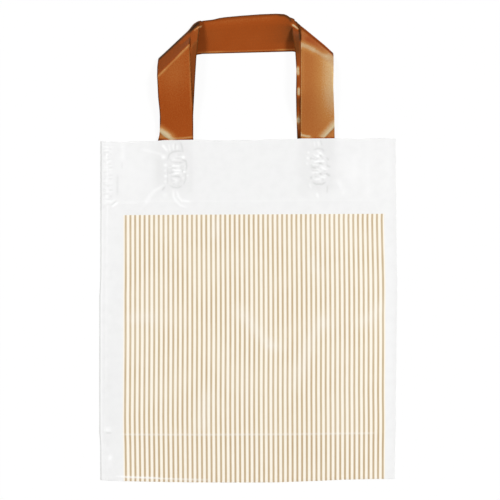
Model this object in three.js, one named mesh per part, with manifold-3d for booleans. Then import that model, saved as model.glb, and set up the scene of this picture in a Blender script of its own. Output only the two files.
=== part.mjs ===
// A plastic carrier bag with soft loop handles, empty and lying flat with its front face up.
// The body is one film folded into two panels, a bottom gusset and two mouth hems, sealed down both sides.
// The handles are two film strips: tails inside the mouth, legs up, loops folded back at both top corners.
// Units are millimetres. +Z is up, +Y runs from the bag's bottom to its handles, and the origin lies on the
// floor under the middle of the whole outline.
import * as THREE from "three";
import { mergeVertices } from "three/addons/utils/BufferGeometryUtils.js";
import Module from "manifold-3d";

// Driving dimensions of the body
const BAG_WIDTH = 296;
const BAG_HEIGHT = 342; // mouth fold to bottom folds
const FILM = 0.06;
const PLY_GAP = 0.1; // air between folded plies of the same film
const HEM_DEPTH = 60; // how far the mouth edge is folded in
const GUSSET_DEPTH = 48; // how far the bottom is folded in
const SIDE_SEAL = 5; // width of the welded strip at each side
const SEAL_BEAD = 0.03; // how far a seal stands proud of the plies that it joins
const SEAL_FLAT = 3; // the plies stay flat this far in from a seal
const MOUTH_GAPE = 6; // clear height between the two handles' tails
const RISE_LENGTH = 130; // from the bottom fold to where the front panel is at its full height
const FLAT_MARGIN = 8; // the front panel stays level this far outside the handles

// Driving dimensions of the handles
const STRIP_FILM = 0.2;
const STRIP_WIDTH = 34;
const HANDLE_SPAN = 176; // front handle, outer edge to outer edge
const HANDLE_RISE = 124; // mouth fold to the top edge of the rear handle's bar
const NEST_INSET = 4; // the rear handle's legs stand this much further in
const ROLL_RADIUS = 6; // rear handle's corner rolls, at mid film
const TAIL_INSET = 5; // the tails stop this far short of the hem's edge
const LEG_STRAIGHT = 4; // level run outside the mouth before a leg starts to climb
const CLIMB_MARGIN = 4; // level run between the end of the climb and the nearest roll
const CLEARANCE = 0.3; // between separate pieces

// Facets along curved stretches
const FOLD_STEPS = 4;
const RISE_STEPS = 10;
const SHOULDER_STEPS = 6;
const LEVEL_STEPS = 4;
const CLIMB_STEPS = 8;
const ROLL_STEPS = 10;
const WELD_TOLERANCE = 1e-4;

const WHITE_FILM = new THREE.MeshStandardMaterial({ color: 0xf3f3f2, roughness: 0.45, metalness: 0 });
const BROWN_FILM = new THREE.MeshStandardMaterial({ color: 0x9e4d20, roughness: 0.25, metalness: 0 });

// Heights of the film's middle surface. A flat stack has four plies at the hems and at the gusset.
const plyHeight = (ply) => SEAL_BEAD + FILM / 2 + ply * (FILM + PLY_GAP);
const sealHeight = plyHeight(3) + FILM / 2 + SEAL_BEAD;
const rearTailHeight = plyHeight(1) + FILM / 2 + CLEARANCE + STRIP_FILM / 2;
const frontTailHeight = rearTailHeight + STRIP_FILM + MOUTH_GAPE;
const frontHemHeight = frontTailHeight + STRIP_FILM / 2 + CLEARANCE + FILM / 2;
const frontLift = frontHemHeight - plyHeight(2);

const smooth = (low, high, value) => THREE.MathUtils.smoothstep(value, low, high);
const steps = (count, from, to) =>
  Array.from({ length: count + 1 }, (_, n) => THREE.MathUtils.lerp(from, to, n / count));

// A closed film: a box of cells, flat to begin with, whose middle surface is laid at place(row, column).
function film(rows, columns, thickness, place) {
  const geometry = new THREE.BoxGeometry(rows, columns, 1, rows, columns, 1);
  geometry.deleteAttribute("normal");
  geometry.deleteAttribute("uv");
  const position = geometry.getAttribute("position");
  for (let n = 0; n < position.count; n++) {
    const row = Math.round(position.getX(n) + rows / 2);
    const column = Math.round(position.getY(n) + columns / 2);
    const along = place(Math.min(row + 1, rows), column).sub(place(Math.max(row - 1, 0), column));
    const across = place(row, Math.min(column + 1, columns)).sub(place(row, Math.max(column - 1, 0)));
    const normal = along.cross(across).normalize();
    const spot = place(row, column).addScaledVector(normal, position.getZ(n) * thickness);
    position.setXYZ(n, spot.x, spot.y, spot.z);
  }
  return mergeVertices(geometry, WELD_TOLERANCE);
}

// The body, modelled with the mouth fold at y = 0
const foldRadius = (FILM + PLY_GAP) / 2;
const foldReach = foldRadius + FILM / 2 + SEAL_BEAD;
const mouthLine = -foldReach;
const bottomLine = -BAG_HEIGHT + foldReach;
const gussetLine = -BAG_HEIGHT + GUSSET_DEPTH - foldReach;
const hemEdge = -HEM_DEPTH;
const shoulderLine = BAG_WIDTH / 2 - SIDE_SEAL - SEAL_FLAT;
const levelLine = HANDLE_SPAN / 2 + FLAT_MARGIN;

// One station of the film's path in the YZ plane; lifted stations rise with the front panel.
const station = (y, z, lifted = false) => ({ y, z, lifted });
const run = (ys, ply, lifted = false) => ys.map((y) => station(y, plyHeight(ply), lifted));

// The inner stations of a half-round fold between two neighbouring plies; side is +1 where it bulges to +Y.
function fold(y, fromPly, toPly, side, lifted = false) {
  const middle = (plyHeight(fromPly) + plyHeight(toPly)) / 2;
  const start = plyHeight(fromPly) - middle;
  return steps(FOLD_STEPS, 0, Math.PI)
    .slice(1, -1)
    .map((angle) =>
      station(y + side * foldRadius * Math.sin(angle), middle + start * Math.cos(angle), lifted),
    );
}

const riseEnd = bottomLine + RISE_LENGTH;
const filmPath = [
  ...run([hemEdge, mouthLine], 1),
  ...fold(mouthLine, 1, 0, 1),
  ...run([mouthLine, bottomLine], 0),
  ...fold(bottomLine, 0, 1, -1),
  ...run([bottomLine, gussetLine], 1),
  ...fold(gussetLine, 1, 2, 1),
  ...run([gussetLine, bottomLine], 2),
  ...fold(bottomLine, 2, 3, -1),
  ...run([...steps(RISE_STEPS, bottomLine, riseEnd), mouthLine], 3, true),
  ...fold(mouthLine, 3, 2, 1, true),
  ...run([mouthLine, hemEdge], 2, true),
];

// Places across the bag: into the middle of each seal, over the shoulder, then level between the handles.
const shoulder = steps(SHOULDER_STEPS, shoulderLine, levelLine);
const acrossBag = [
  -(BAG_WIDTH - SIDE_SEAL) / 2,
  ...shoulder.map((x) => -x),
  ...steps(LEVEL_STEPS, -levelLine, levelLine).slice(1, -1),
  ...shoulder.toReversed(),
  (BAG_WIDTH - SIDE_SEAL) / 2,
];

function layBagFilm(row, column) {
  const x = acrossBag[row];
  const { y, z, lifted } = filmPath[column];
  if (!lifted) return new THREE.Vector3(x, y, z);
  const alongShare = smooth(bottomLine, riseEnd, y);
  const acrossShare = 1 - smooth(levelLine, shoulderLine, Math.abs(x));
  return new THREE.Vector3(x, y, z + frontLift * alongShare * acrossShare);
}

function sideSeal(side) {
  const seal = new THREE.BoxGeometry(SIDE_SEAL, BAG_HEIGHT, sealHeight);
  seal.deleteAttribute("normal");
  seal.deleteAttribute("uv");
  seal.translate((side * (BAG_WIDTH - SIDE_SEAL)) / 2, -BAG_HEIGHT / 2, sealHeight / 2);
  return mergeVertices(seal, WELD_TOLERANCE);
}

// A handle, modelled with the mouth fold at y = 0. A strip climbs from its tail, rolls back over a 45 degree
// line at the corner and runs level to the middle, and the other half mirrors it.
function handle(halfSpan, barTop, roll, tailHeight, barHeight) {
  const legHeight = barHeight + 2 * roll;
  const rollLength = Math.PI * roll;
  const rollStart = barTop - STRIP_WIDTH - rollLength * Math.SQRT1_2; // at the strip's outer edge
  const squareCuts = [-HEM_DEPTH + TAIL_INSET, ...steps(CLIMB_STEPS, LEG_STRAIGHT, climbEnd)];
  const rollCuts = steps(ROLL_STEPS, 0, rollLength);
  const middle = squareCuts.length + rollCuts.length;

  // fromEdge is the distance from the strip's outer edge, and past is the way round beyond the roll's start.
  function rolled(fromEdge, past) {
    const turn = THREE.MathUtils.clamp(past, 0, rollLength) / roll;
    const out = roll * Math.sin(turn) - Math.max(past - rollLength, 0);
    const x = -halfSpan + fromEdge + (past - out) * Math.SQRT1_2;
    const y = rollStart + fromEdge + (past + out) * Math.SQRT1_2;
    return new THREE.Vector3(x, y, barHeight + roll + roll * Math.cos(turn));
  }
  function leftHalf(cut, fromEdge) {
    if (cut < squareCuts.length) {
      const y = squareCuts[cut];
      const climb = smooth(LEG_STRAIGHT, climbEnd, y);
      return new THREE.Vector3(-halfSpan + fromEdge, y, THREE.MathUtils.lerp(tailHeight, legHeight, climb));
    }
    if (cut < middle) return rolled(fromEdge, rollCuts[cut - squareCuts.length]);
    const toMiddle = (halfSpan - fromEdge + rollLength * Math.SQRT1_2) * Math.SQRT1_2;
    return rolled(fromEdge, toMiddle);
  }
  // Rows run along the strip from the left tail to the right one, columns from inner to outer edge.
  return film(2 * middle, 1, STRIP_FILM, (row, column) => {
    const fromEdge = STRIP_WIDTH * (1 - column);
    if (row <= middle) return leftHalf(row, fromEdge);
    const mirrored = leftHalf(2 * middle - row, fromEdge);
    return mirrored.setX(-mirrored.x);
  });
}

// The rear handle's rolls lie inside the front handle's, on the same axes.
const pitch = STRIP_FILM + CLEARANCE;
const frontRoll = ROLL_RADIUS + pitch;
const frontBarHeight = STRIP_FILM / 2;
const rearBarHeight = frontBarHeight + pitch;
const frontBarTop = HANDLE_RISE - NEST_INSET + (frontRoll - ROLL_RADIUS) * Math.PI * Math.SQRT1_2;
const climbEnd = frontBarTop - STRIP_WIDTH - frontRoll * Math.PI * Math.SQRT1_2 - CLIMB_MARGIN;

// Joining the seals to the folded film
const wasm = await Module();
wasm.setup();
const solid = (geometry) =>
  new wasm.Manifold(
    new wasm.Mesh({
      numProp: 3,
      vertProperties: geometry.getAttribute("position").array,
      triVerts: new Uint32Array(geometry.index.array),
    }),
  );
function joined(...geometries) {
  const mesh = geometries.map(solid).reduce((all, next) => all.add(next)).getMesh();
  return new THREE.BufferGeometry()
    .setAttribute("position", new THREE.BufferAttribute(mesh.vertProperties, mesh.numProp))
    .setIndex(new THREE.BufferAttribute(mesh.triVerts, 1));
}

function piece(name, geometry, material) {
  const mesh = new THREE.Mesh(geometry, material);
  mesh.name = name;
  return mesh;
}

const folded = film(acrossBag.length - 1, filmPath.length - 1, FILM, layBagFilm);
const frontSpan = HANDLE_SPAN / 2;
const rearSpan = frontSpan - NEST_INSET;
const frontHandle = handle(frontSpan, frontBarTop, frontRoll, frontTailHeight, frontBarHeight);
const rearHandle = handle(rearSpan, HANDLE_RISE, ROLL_RADIUS, rearTailHeight, rearBarHeight);

const group = new THREE.Group();
group.add(
  piece("bag_body", joined(folded, sideSeal(-1), sideSeal(1)), WHITE_FILM),
  piece("front_handle", frontHandle, BROWN_FILM),
  piece("rear_handle", rearHandle, BROWN_FILM),
);
const mouthPlace = (BAG_HEIGHT - HANDLE_RISE) / 2;
group.children.forEach((mesh) => mesh.position.setY(mouthPlace));

export default group;
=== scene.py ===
# %% [markdown]
# A plastic carrier bag, as it lies flat on a table.
#
# The real bag is one long sheet of thin milky film. The sheet is folded in a W at the bottom, which makes
# the gusset, its two ends are turned in at the mouth as hems, and both sides are melted shut. Two soft
# loops of thicker brown film are melted to the insides of the hems. This lesson lays the same sheets in
# the same order: first flat, as they are cut, and then folded, creased and welded by moving their points.

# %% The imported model, as a fixed frame
import math

import bpy
import numpy as np
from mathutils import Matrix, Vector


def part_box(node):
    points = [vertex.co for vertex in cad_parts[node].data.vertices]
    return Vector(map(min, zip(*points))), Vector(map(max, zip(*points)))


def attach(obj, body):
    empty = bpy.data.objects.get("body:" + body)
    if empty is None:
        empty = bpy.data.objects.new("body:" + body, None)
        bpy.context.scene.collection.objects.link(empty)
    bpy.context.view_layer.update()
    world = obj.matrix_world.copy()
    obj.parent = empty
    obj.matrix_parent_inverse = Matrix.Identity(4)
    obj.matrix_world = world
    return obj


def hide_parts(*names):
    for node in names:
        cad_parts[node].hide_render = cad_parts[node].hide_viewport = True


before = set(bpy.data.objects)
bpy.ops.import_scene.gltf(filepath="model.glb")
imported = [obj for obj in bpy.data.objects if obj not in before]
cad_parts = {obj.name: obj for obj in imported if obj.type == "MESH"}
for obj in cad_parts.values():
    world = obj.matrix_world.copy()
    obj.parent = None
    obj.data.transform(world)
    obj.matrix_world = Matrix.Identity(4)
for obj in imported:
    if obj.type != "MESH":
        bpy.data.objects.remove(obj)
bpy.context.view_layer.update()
MM = 0.001

# %% The bag's own sizes, from its node
bag_low, bag_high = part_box("bag_body")
MOUTH_Y = bag_high.y
BOTTOM_Y = bag_low.y
HALF_WIDTH = (bag_high.x - bag_low.x) / 2
PANEL_DEPTH = MOUTH_Y - BOTTOM_Y
HEM_DEPTH = 60 * MM
GUSSET_DEPTH = 48 * MM
FILM = 0.06 * MM
PLY_GAP = 0.25 * MM
SEAL_GAP = 0.10 * MM
print("bag in mm:", round(2 * HALF_WIDTH / MM, 1), "by", round(PANEL_DEPTH / MM, 1))


# %% Helpers for soft shapes
def smooth_step(low, high, value):
    """0 below low, 1 above high and a soft S between them."""
    share = np.clip((value - low) / (high - low), 0.0, 1.0)
    return share * share * (3.0 - 2.0 * share)


def soft_span(value, start, end):
    """1 between two soft edges, each given by the places where it starts and ends."""
    return smooth_step(*start, value) * (1.0 - smooth_step(*end, value))


def along_edge(points, value):
    """A value read between a few places, both in millimetres."""
    return np.interp(value / MM, *points) * MM


def soft_noise(x, y, size_x, size_y, seed):
    """Smooth noise from -1 to 1 in lumps of about the given size, the same on each run."""
    cells = 64
    heights = np.random.default_rng(seed).uniform(-1.0, 1.0, (cells, cells))
    u, v = x / size_x, y / size_y
    column, row = np.floor(u).astype(int), np.floor(v).astype(int)
    across = smooth_step(0.0, 1.0, u - column)
    up = smooth_step(0.0, 1.0, v - row)

    def corner(right, above):
        return heights[(row + above) % cells, (column + right) % cells]

    lower = corner(0, 0) * (1.0 - across) + corner(1, 0) * across
    upper = corner(0, 1) * (1.0 - across) + corner(1, 1) * across
    return lower * (1.0 - up) + upper * up


# %% [markdown]
# The camera comes first, because everything is judged through it. The bag was photographed from straight
# above with a long lens, so the camera hangs over the table and looks down. A long lens far away keeps
# the sides parallel, and the lens follows from the height and from the half metre of table that the
# picture takes in.

# %% Camera straight above the bag
PICTURE_WIDTH = 500 * MM
PICTURE_MIDDLE = (2 * MM, -1 * MM)
CAMERA_HEIGHT = 2.2
SENSOR_WIDTH = 36.0
MEAN_FILM_HEIGHT = 5 * MM


def deselect():
    """Operators act on all that is selected, so each step starts with nothing selected."""
    bpy.ops.object.select_all(action="DESELECT")


deselect()
bpy.ops.object.camera_add(location=(*PICTURE_MIDDLE, CAMERA_HEIGHT), rotation=(0.0, 0.0, 0.0))
camera = bpy.context.object
camera.data.sensor_width = SENSOR_WIDTH
camera.data.lens = SENSOR_WIDTH * (CAMERA_HEIGHT - MEAN_FILM_HEIGHT) / PICTURE_WIDTH
bpy.context.scene.camera = camera
print("lens in mm:", round(camera.data.lens, 1))

# %% [markdown]
# The front of the bag is not a flat plate. Air and the handles inside lift it a few millimetres, its
# sides come down to the melted seams, and it carries the marks of its making: creases round the two
# welds, crinkles in the left seam and the lines of the hem and the gusset. A cloth simulation would give
# folds in places of its own choosing, and this film is stiff and nearly flat, so the height of the front
# is written as a sum of named marks instead. A mark is a soft ridge along a few points, given in
# millimetres right of the middle and below the mouth.


# %% Marks pressed into film
LINE_FADES = ((-0.15, 0.2), (0.8, 1.15))


def ridge(x, down, points, width, strength):
    """A soft ridge along a line of points in millimetres, fading at the line's two ends."""
    points = np.array(points) * MM
    steps = np.linalg.norm(np.diff(points, axis=0), axis=1)
    before = np.concatenate([[0.0], np.cumsum(steps)])
    nearest = np.full(x.shape, np.inf)
    place = np.zeros(x.shape)
    for start, end, size, run in zip(points[:-1], points[1:], steps, before):
        way = (end - start) / size
        along = np.clip((x - start[0]) * way[0] + (down - start[1]) * way[1], 0.0, size)
        gap = np.hypot(x - start[0] - along * way[0], down - start[1] - along * way[1])
        closer = gap < nearest
        nearest = np.where(closer, gap, nearest)
        place = np.where(closer, run + along, place)
    fade = soft_span(place / before[-1], *LINE_FADES)
    return strength * np.exp(-((nearest / (width * MM)) ** 2)) * fade


def dimple(x, down, middle, radii, strength):
    """One round or oval bump."""
    u = (x / MM - middle[0]) / radii[0]
    v = (down / MM - middle[1]) / radii[1]
    return strength * np.exp(-(u * u + v * v))


def strokes(x, down, lines):
    """The sum of ridges, each given by its points, width and strength."""
    return sum(ridge(x, down, *line) for line in lines)


def patches(x, down, spots):
    """The sum of dimples, each given by its middle, radii and strength."""
    return sum(dimple(x, down, *spot) for spot in spots)


# %% The folds round the two welds
WELDS = [
    ((-71.2, 29), (9.6, 18.4), 5),
    ((71, 27.3), (9.4, 17.8), 8),
]
LEFT_FOLDS = [
    ([(-85.5, 4.6), (-80.9, 10.8)], 1.1, 0.9),
    ([(-79.3, 4.2), (-78, 10.8)], 0.7, 0.5),
    ([(-74.7, 3.8), (-74.7, 10)], 0.8, 0.6),
    ([(-72.6, 3.2), (-73, 9.2)], 0.7, -0.6),
    ([(-70.5, 5), (-70.9, 10)], 0.7, 0.5),
    ([(-67.2, 2.6), (-65.1, 11.7)], 0.9, -0.6),
    ([(-106.3, 7.9), (-99.7, 10), (-93, 11.3), (-87.2, 13.8), (-84.7, 16.7)], 1.4, 0.36),
    ([(-80.5, 26.7), (-80.6, 35), (-80.4, 43.3)], 0.7, -0.5),
    ([(-80.5, 19.5), (-78.8, 14.2), (-75.5, 11.7), (-71.3, 10.8), (-66.3, 11.3)], 0.8, -0.7),
    ([(-65.5, 20), (-62.2, 20.8), (-61.3, 25.8), (-62.2, 30)], 0.9, -0.7),
    ([(-65.2, 29), (-65.8, 32)], 0.8, -0.6),
    ([(-62.2, 33), (-62.6, 40), (-64.7, 44)], 0.8, -0.55),
    ([(-78, 45.4), (-74.7, 47.1), (-69.7, 47.5), (-66.3, 45.8)], 0.8, -0.6),
    ([(-84.7, 45), (-88, 47.5), (-93, 50), (-98, 55), (-101.3, 60.8), (-103.8, 65)], 1.7, 0.5),
    ([(-83.4, 46.5), (-86, 50.2)], 0.9, -0.6),
    ([(-74.7, 50), (-74.7, 55.8), (-72.2, 60.8), (-68, 65), (-62.2, 67)], 1.1, 0.62),
    ([(-71.3, 50.8), (-69.7, 56.7), (-66.3, 60.8), (-58, 61.7)], 1.1, 0.66),
    ([(-76.3, 20), (-73, 19.2)], 0.8, 0.6),
    ([(-74.7, 22.5), (-67.2, 22.1)], 0.7, -0.7),
    ([(-76.3, 25.6), (-68, 25.4)], 0.8, 0.9),
    ([(-76.5, 27.6), (-72, 27.9)], 0.6, -0.6),
    ([(-74.7, 29.8), (-67.2, 30.2)], 0.9, 1),
    ([(-79, 33), (-74.7, 31.8)], 0.7, -0.7),
    ([(-73, 33.5), (-68.8, 32.6)], 0.8, 0.8),
    ([(-76.3, 36.2), (-67.2, 36.6)], 0.9, -0.5),
    ([(-73.5, 39.6), (-70, 40.8)], 1.3, 0.35),
]
RIGHT_FOLDS = [
    ([(65.3, 11), (69.5, 9.6), (73.7, 10.4), (76.2, 12.5)], 0.8, -0.6),
    ([(72.2, 1.5), (73.7, 6.7)], 0.8, -0.5),
    ([(69.8, 2.5), (70.5, 7.5)], 0.8, 0.4),
    ([(66, 3), (66.5, 7.5)], 0.8, 0.35),
    ([(59.8, 12.8), (60.5, 14.5)], 1.2, 0.6),
    ([(59, 18), (60, 19.5)], 1.2, 0.7),
    ([(58.6, 23.5), (59.5, 25)], 1.1, 0.6),
    ([(68.7, 12.5), (75.3, 15.8)], 0.8, 0.8),
    ([(65.3, 15.8), (70.3, 17.5)], 0.8, 0.8),
    ([(71.2, 16.3), (74, 18)], 0.7, -0.8),
    ([(64.5, 20), (69, 20.4)], 0.6, -0.5),
    ([(65.3, 22.7), (76.2, 22.1)], 0.8, 1),
    ([(70.3, 24.2), (74.5, 25)], 0.7, -0.8),
    ([(65.3, 25.2), (69.5, 26)], 0.8, 0.8),
    ([(72.8, 27.5), (77.8, 30.8)], 0.8, 0.9),
    ([(63.7, 27.5), (67.8, 29.4)], 0.8, -0.7),
    ([(68.5, 29.5), (72, 31.5)], 0.8, 0.6),
    ([(65.3, 33.3), (69.5, 33.3)], 0.9, 0.8),
    ([(71.5, 33.6), (73.2, 35.4)], 0.8, -0.7),
    ([(66, 36.4), (69, 37)], 0.7, -0.5),
    ([(71.2, 36.9), (77, 38.5)], 0.8, 0.8),
    ([(66.8, 40.2), (72, 39.4)], 0.8, 0.7),
    ([(78.5, 18.8), (80.5, 21)], 0.9, -0.7),
    ([(78.7, 26.7), (82, 27.9)], 0.9, -0.6),
    ([(77.6, 34.6), (81.4, 36.8)], 1.2, -0.9),
    ([(64.3, 43), (67.8, 45), (73.7, 45), (77.2, 43)], 0.9, -0.85),
    ([(79, 46.7), (79, 53.3)], 0.8, -0.45),
    ([(68.7, 54), (69.7, 58.3)], 1, 0.7),
    ([(61.2, 44.5), (63, 48.5)], 1.1, 0.5),
    ([(89.5, 41.7), (93.7, 50), (97, 56.7)], 1.8, 0.3),
    ([(119.5, 18), (119, 60)], 2.6, 0.2),
]
BEADS = [
    ((-84.3, 16.7), (2, 2.2), 0.9),
    ((-82.6, 24.6), (1.4, 1.5), 0.85),
    ((-82.9, 30), (1.1, 1.2), 0.6),
    ((-82.2, 35.8), (1.4, 1.4), 0.85),
    ((-82.8, 41), (1.1, 1.2), 0.6),
    ((-64.7, 17.1), (1.3, 1.5), 1.2),
    ((-63.6, 31.7), (1.1, 1), 1),
    ((-60.5, 35.2), (1, 1), 0.7),
    ((62.8, 19.2), (1.1, 1.1), -0.7),
    ((63.2, 26.4), (1, 1), -0.6),
    ((63, 38.4), (1.5, 1.4), -0.8),
]
CRUMPLE, CRUMPLE_SIZE, WELD_RIM = 0.38, (2.4, 1.5), (0.8, 1.05)


def weld(x, down, middle, radii, seed):
    """Fine crumpled film inside the oval of a weld."""
    reach = np.hypot((x / MM - middle[0]) / radii[0], (down / MM - middle[1]) / radii[1])
    crumpled = soft_noise(x / MM, down / MM, *CRUMPLE_SIZE, seed)
    return CRUMPLE * crumpled * (1.0 - smooth_step(*WELD_RIM, reach))


print("folds drawn round the welds:", len(LEFT_FOLDS) + len(RIGHT_FOLDS))

# %% Marks of the seam, the hem, the gusset and the print
MARGIN_FOLDS = [
    ([(-125.5, 1), (-124.8, 10), (-126, 20.5)], 2.4, 0.34),
    ([(-126.2, 20.8), (-126.2, 27.5)], 0.7, -0.35),
    ([(-130.6, 34), (-130.9, 54)], 1.3, -0.36),
    ([(-135.5, 66), (-130.3, 62.3)], 0.9, 0.95),
    ([(-138, 61.9), (-133.4, 59.2)], 0.8, 0.6),
    ([(-137, 64.2), (-132, 60.4)], 0.6, -0.5),
    ([(-127, 62.5), (-110.5, 62.5)], 0.7, 0.3),
    ([(-146.3, 70), (-146.6, 330)], 0.8, 0.5),
    ([(-141.5, 293.2), (-136.5, 293.2)], 0.8, -0.5),
    ([(-132, 337.8), (-88, 338.4)], 0.8, 0.85),
    ([(-92, 338.6), (-40, 339.6)], 0.7, 0.5),
]
PRINT_FOLDS = [
    ([(-12, 168), (4, 184), (16, 200), (24, 206), (34, 209)], 5, 0.17),
    ([(78, 180), (62, 200), (56, 222), (48, 245)], 7, 0.14),
    ([(19, 202), (25, 207)], 4, 0.14),
    ([(68, 181), (80, 184)], 5, 0.12),
    ([(134, 163), (124, 178), (110, 184)], 6, 0.13),
    ([(-122, 178), (-90, 177)], 6.5, 0.16),
    ([(-30, 78), (-34, 98)], 5, 0.16),
    ([(63, 116), (70, 134)], 6, 0.12),
    ([(-40, 250), (-46, 292)], 6, 0.12),
]
SOFT_PATCHES = [
    ((-88.5, 29), (4.5, 15), -0.13),
    ((-57, 33), (2.8, 20), -0.16),
    ((80, 9), (7, 10), -0.14),
    ((-116, 32), (14, 22), 0.2),
    ((104.5, 31.7), (8, 14), 0.3),
    ((-83, 54.5), (2.4, 2.8), 0.35),
    ((-140, 290), (3.4, 1.6), 1.3),
    ((-138, 319.6), (2, 2), 1.2),
    ((-139, 262), (12, 95), -0.12),
]
GUSSET_LINE, HEM_LINE = 294.5, 61.0
LINE_WIDTH, GUSSET_LINE_STRENGTH, HEM_LINE_STRENGTH = 0.9, 0.30, 0.12
LINE_ENDS = (122 * MM, 130 * MM)
CRINKLE_SIZES, CRINKLE_SEED = ((6.0, 1.3), (2.6, 1.9)), 3
CRINKLE_STRENGTH, CRINKLE_HAZE, CRINKLE_LEAST = 0.30, 0.10, 0.15
CRINKLE_BAND, CRINKLE_HEM = ((-146.5, -144.5), (-138.0, -134.0)), (56.0, 72.0)


def seam_crinkles(x, down):
    """Fine level ripples where the left seam draws the film together, strongest beside the hem."""
    x_mm, down_mm = x / MM, down / MM
    beside_hem = 1.0 - smooth_step(*CRINKLE_HEM, down_mm)
    strength = CRINKLE_LEAST + (1.0 - CRINKLE_LEAST) * beside_hem
    ripples = sum(soft_noise(x_mm, down_mm, *size, CRINKLE_SEED) for size in CRINKLE_SIZES)
    return (CRINKLE_STRENGTH * ripples + CRINKLE_HAZE) * soft_span(x_mm, *CRINKLE_BAND) * strength


print("other marks of the front:", len(MARGIN_FOLDS) + len(PRINT_FOLDS) + len(SOFT_PATCHES))

# %% The whole front as one height
SEAL_WIDTH, SEAL_EDGE = 5 * MM, 3 * MM
SIDE_RISE = 95 * MM
BOTTOM_RISE = 130 * MM
FRONT_LIFT = 5.6 * MM
WAVE_HEIGHT, WAVE_SIZE, WAVE_SEED = 0.35 * MM, (46.0, 70.0), 11
SIDE_CALM, BOTTOM_CALM = 20 * MM, 30 * MM
MARK_HEIGHT, HEM_ROOM = 0.40 * MM, 1.1
REAR_HEIGHT = FILM / 2 + 0.02 * MM


def from_seal(x):
    """The distance from the nearer side seal."""
    return HALF_WIDTH - SEAL_WIDTH - np.abs(x)


def ply_gap(x):
    """The room between plies: open in the bag and nearly nothing in the melted side seams."""
    pressed = 1.0 - smooth_step(0.0, SEAL_EDGE, from_seal(x))
    return PLY_GAP + (SEAL_GAP - PLY_GAP) * pressed


def front_marks(x, down):
    """All marks of the front: about 1 on a raised ridge painted with a highlight, and -1 in a pressed line
    painted with shade.
    """
    marks = sum(weld(x, down, *spot) for spot in WELDS)
    marks = marks + strokes(x, down, LEFT_FOLDS + RIGHT_FOLDS + MARGIN_FOLDS + PRINT_FOLDS)
    marks = marks + patches(x, down, BEADS + SOFT_PATCHES)
    inside = 1.0 - smooth_step(*LINE_ENDS, np.abs(x))
    for line, strength in ((GUSSET_LINE, GUSSET_LINE_STRENGTH), (HEM_LINE, HEM_LINE_STRENGTH)):
        marks = marks + strength * np.exp(-(((down / MM - line) / LINE_WIDTH) ** 2)) * inside
    return marks + seam_crinkles(x, down)


def front_base(x, down):
    """The height of the front panel without its marks."""
    inside, above = from_seal(x), PANEL_DEPTH - down
    side = np.sin(np.pi / 2 * np.clip(inside / SIDE_RISE, 0.0, 1.0))
    bottom = np.sin(np.pi / 2 * np.clip(above / BOTTOM_RISE, 0.0, 1.0))
    waves = soft_noise(x / MM, down / MM, *WAVE_SIZE, WAVE_SEED) * WAVE_HEIGHT
    waves = waves * smooth_step(0.0, SIDE_CALM, inside) * smooth_step(0.0, BOTTOM_CALM, above)
    return REAR_HEIGHT + 3 * ply_gap(x) + FRONT_LIFT * side * bottom + waves


def front_height(x, down):
    """The height of the front panel's film with all its marks."""
    return front_base(x, down) + MARK_HEIGHT * front_marks(x, down)


def hem_clearance(x):
    """The room that the marks need above the hem, none of it in the seams."""
    return ply_gap(x) + HEM_ROOM * MARK_HEIGHT * smooth_step(0.0, SIDE_CALM, from_seal(x))


middle_lift = front_height(np.zeros(1), np.full(1, PANEL_DEPTH / 2))[0]
print("front lift in mm:", round(float(middle_lift) / MM, 2))

# %% [markdown]
# The bag's film starts as a flat grid, 296 mm wide and 900 mm long, which is the sheet as it is cut. Its
# rows are close together where creases are to come and far apart on the plain back. Each row then goes to
# its place in the fold: rear hem, rear panel, the two plies of the gusset, front panel and front hem. The
# places on the flat sheet are kept as two attributes, so that the print can follow the film round its
# folds, as ink does.


# %% Stations on the flat sheet
def stations(*runs):
    """Places along a line in metres, from runs of start, end and step in millimetres."""
    places = [runs[0][0]]
    for start, end, step in runs:
        count = max(1, round(abs(end - start) / step))
        places.extend(np.linspace(start, end, count + 1)[1:])
    return np.array(places) * MM


TOP_ROW, LOW_ROW, FOLD_ROW = 1.2, 340.6, 295.4
columns = stations(
    (-148, -124, 1.1),
    (-124, -94, 2.6),
    (-94, -54, 0.68),
    (-54, 56, 4.4),
    (56, 92, 0.72),
    (92, 148, 3.6),
)
columns = columns * (HALF_WIDTH / columns[-1])
front_downs = stations(
    (LOW_ROW, 335, 0.9),
    (335, 298, 4),
    (298, 291, 0.9),
    (291, 70, 5),
    (70, TOP_ROW, 0.72),
)
back_downs = stations((TOP_ROW, 50, 10.0), (50, LOW_ROW, 12.0))
gusset_downs = stations((LOW_ROW, FOLD_ROW, 6.0))
hem_downs = stations((TOP_ROW, 60, 8.0))
FOLD_TURNS = np.linspace(0.0, 1.0, 5)
print("columns:", len(columns), " front rows:", len(front_downs))

# %% The rows in the order of the sheet
PLIES = range(6)
REAR_HEM, REAR_PANEL, GUSSET_BACK, GUSSET_FRONT, FRONT_PANEL, FRONT_HEM = PLIES
FOLD_RUN = 0.4 * MM
BOTTOM_DOWN = PANEL_DEPTH
GUSSET_DOWN = PANEL_DEPTH - GUSSET_DEPTH

rows = []


def add_ply(ply, downs, run_of):
    """Rows of one flat ply: distance along the sheet, ply twice, no turn, place and no fold."""
    rows.extend((run_of(down), ply, ply, 0.0, down, 0.0) for down in downs)


def add_fold(first, second, down, run, out):
    """Rows round a fold from one ply to the next, with out 1 towards the mouth and -1 below."""
    rows.extend((run + (turn - 0.5) * FOLD_RUN, first, second, turn, down, out) for turn in FOLD_TURNS)


rear_mouth = HEM_DEPTH
rear_bottom = rear_mouth + PANEL_DEPTH
gusset_middle = rear_bottom + GUSSET_DEPTH
front_bottom = gusset_middle + GUSSET_DEPTH
front_mouth = front_bottom + PANEL_DEPTH
FILM_LENGTH = front_mouth + HEM_DEPTH

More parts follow.
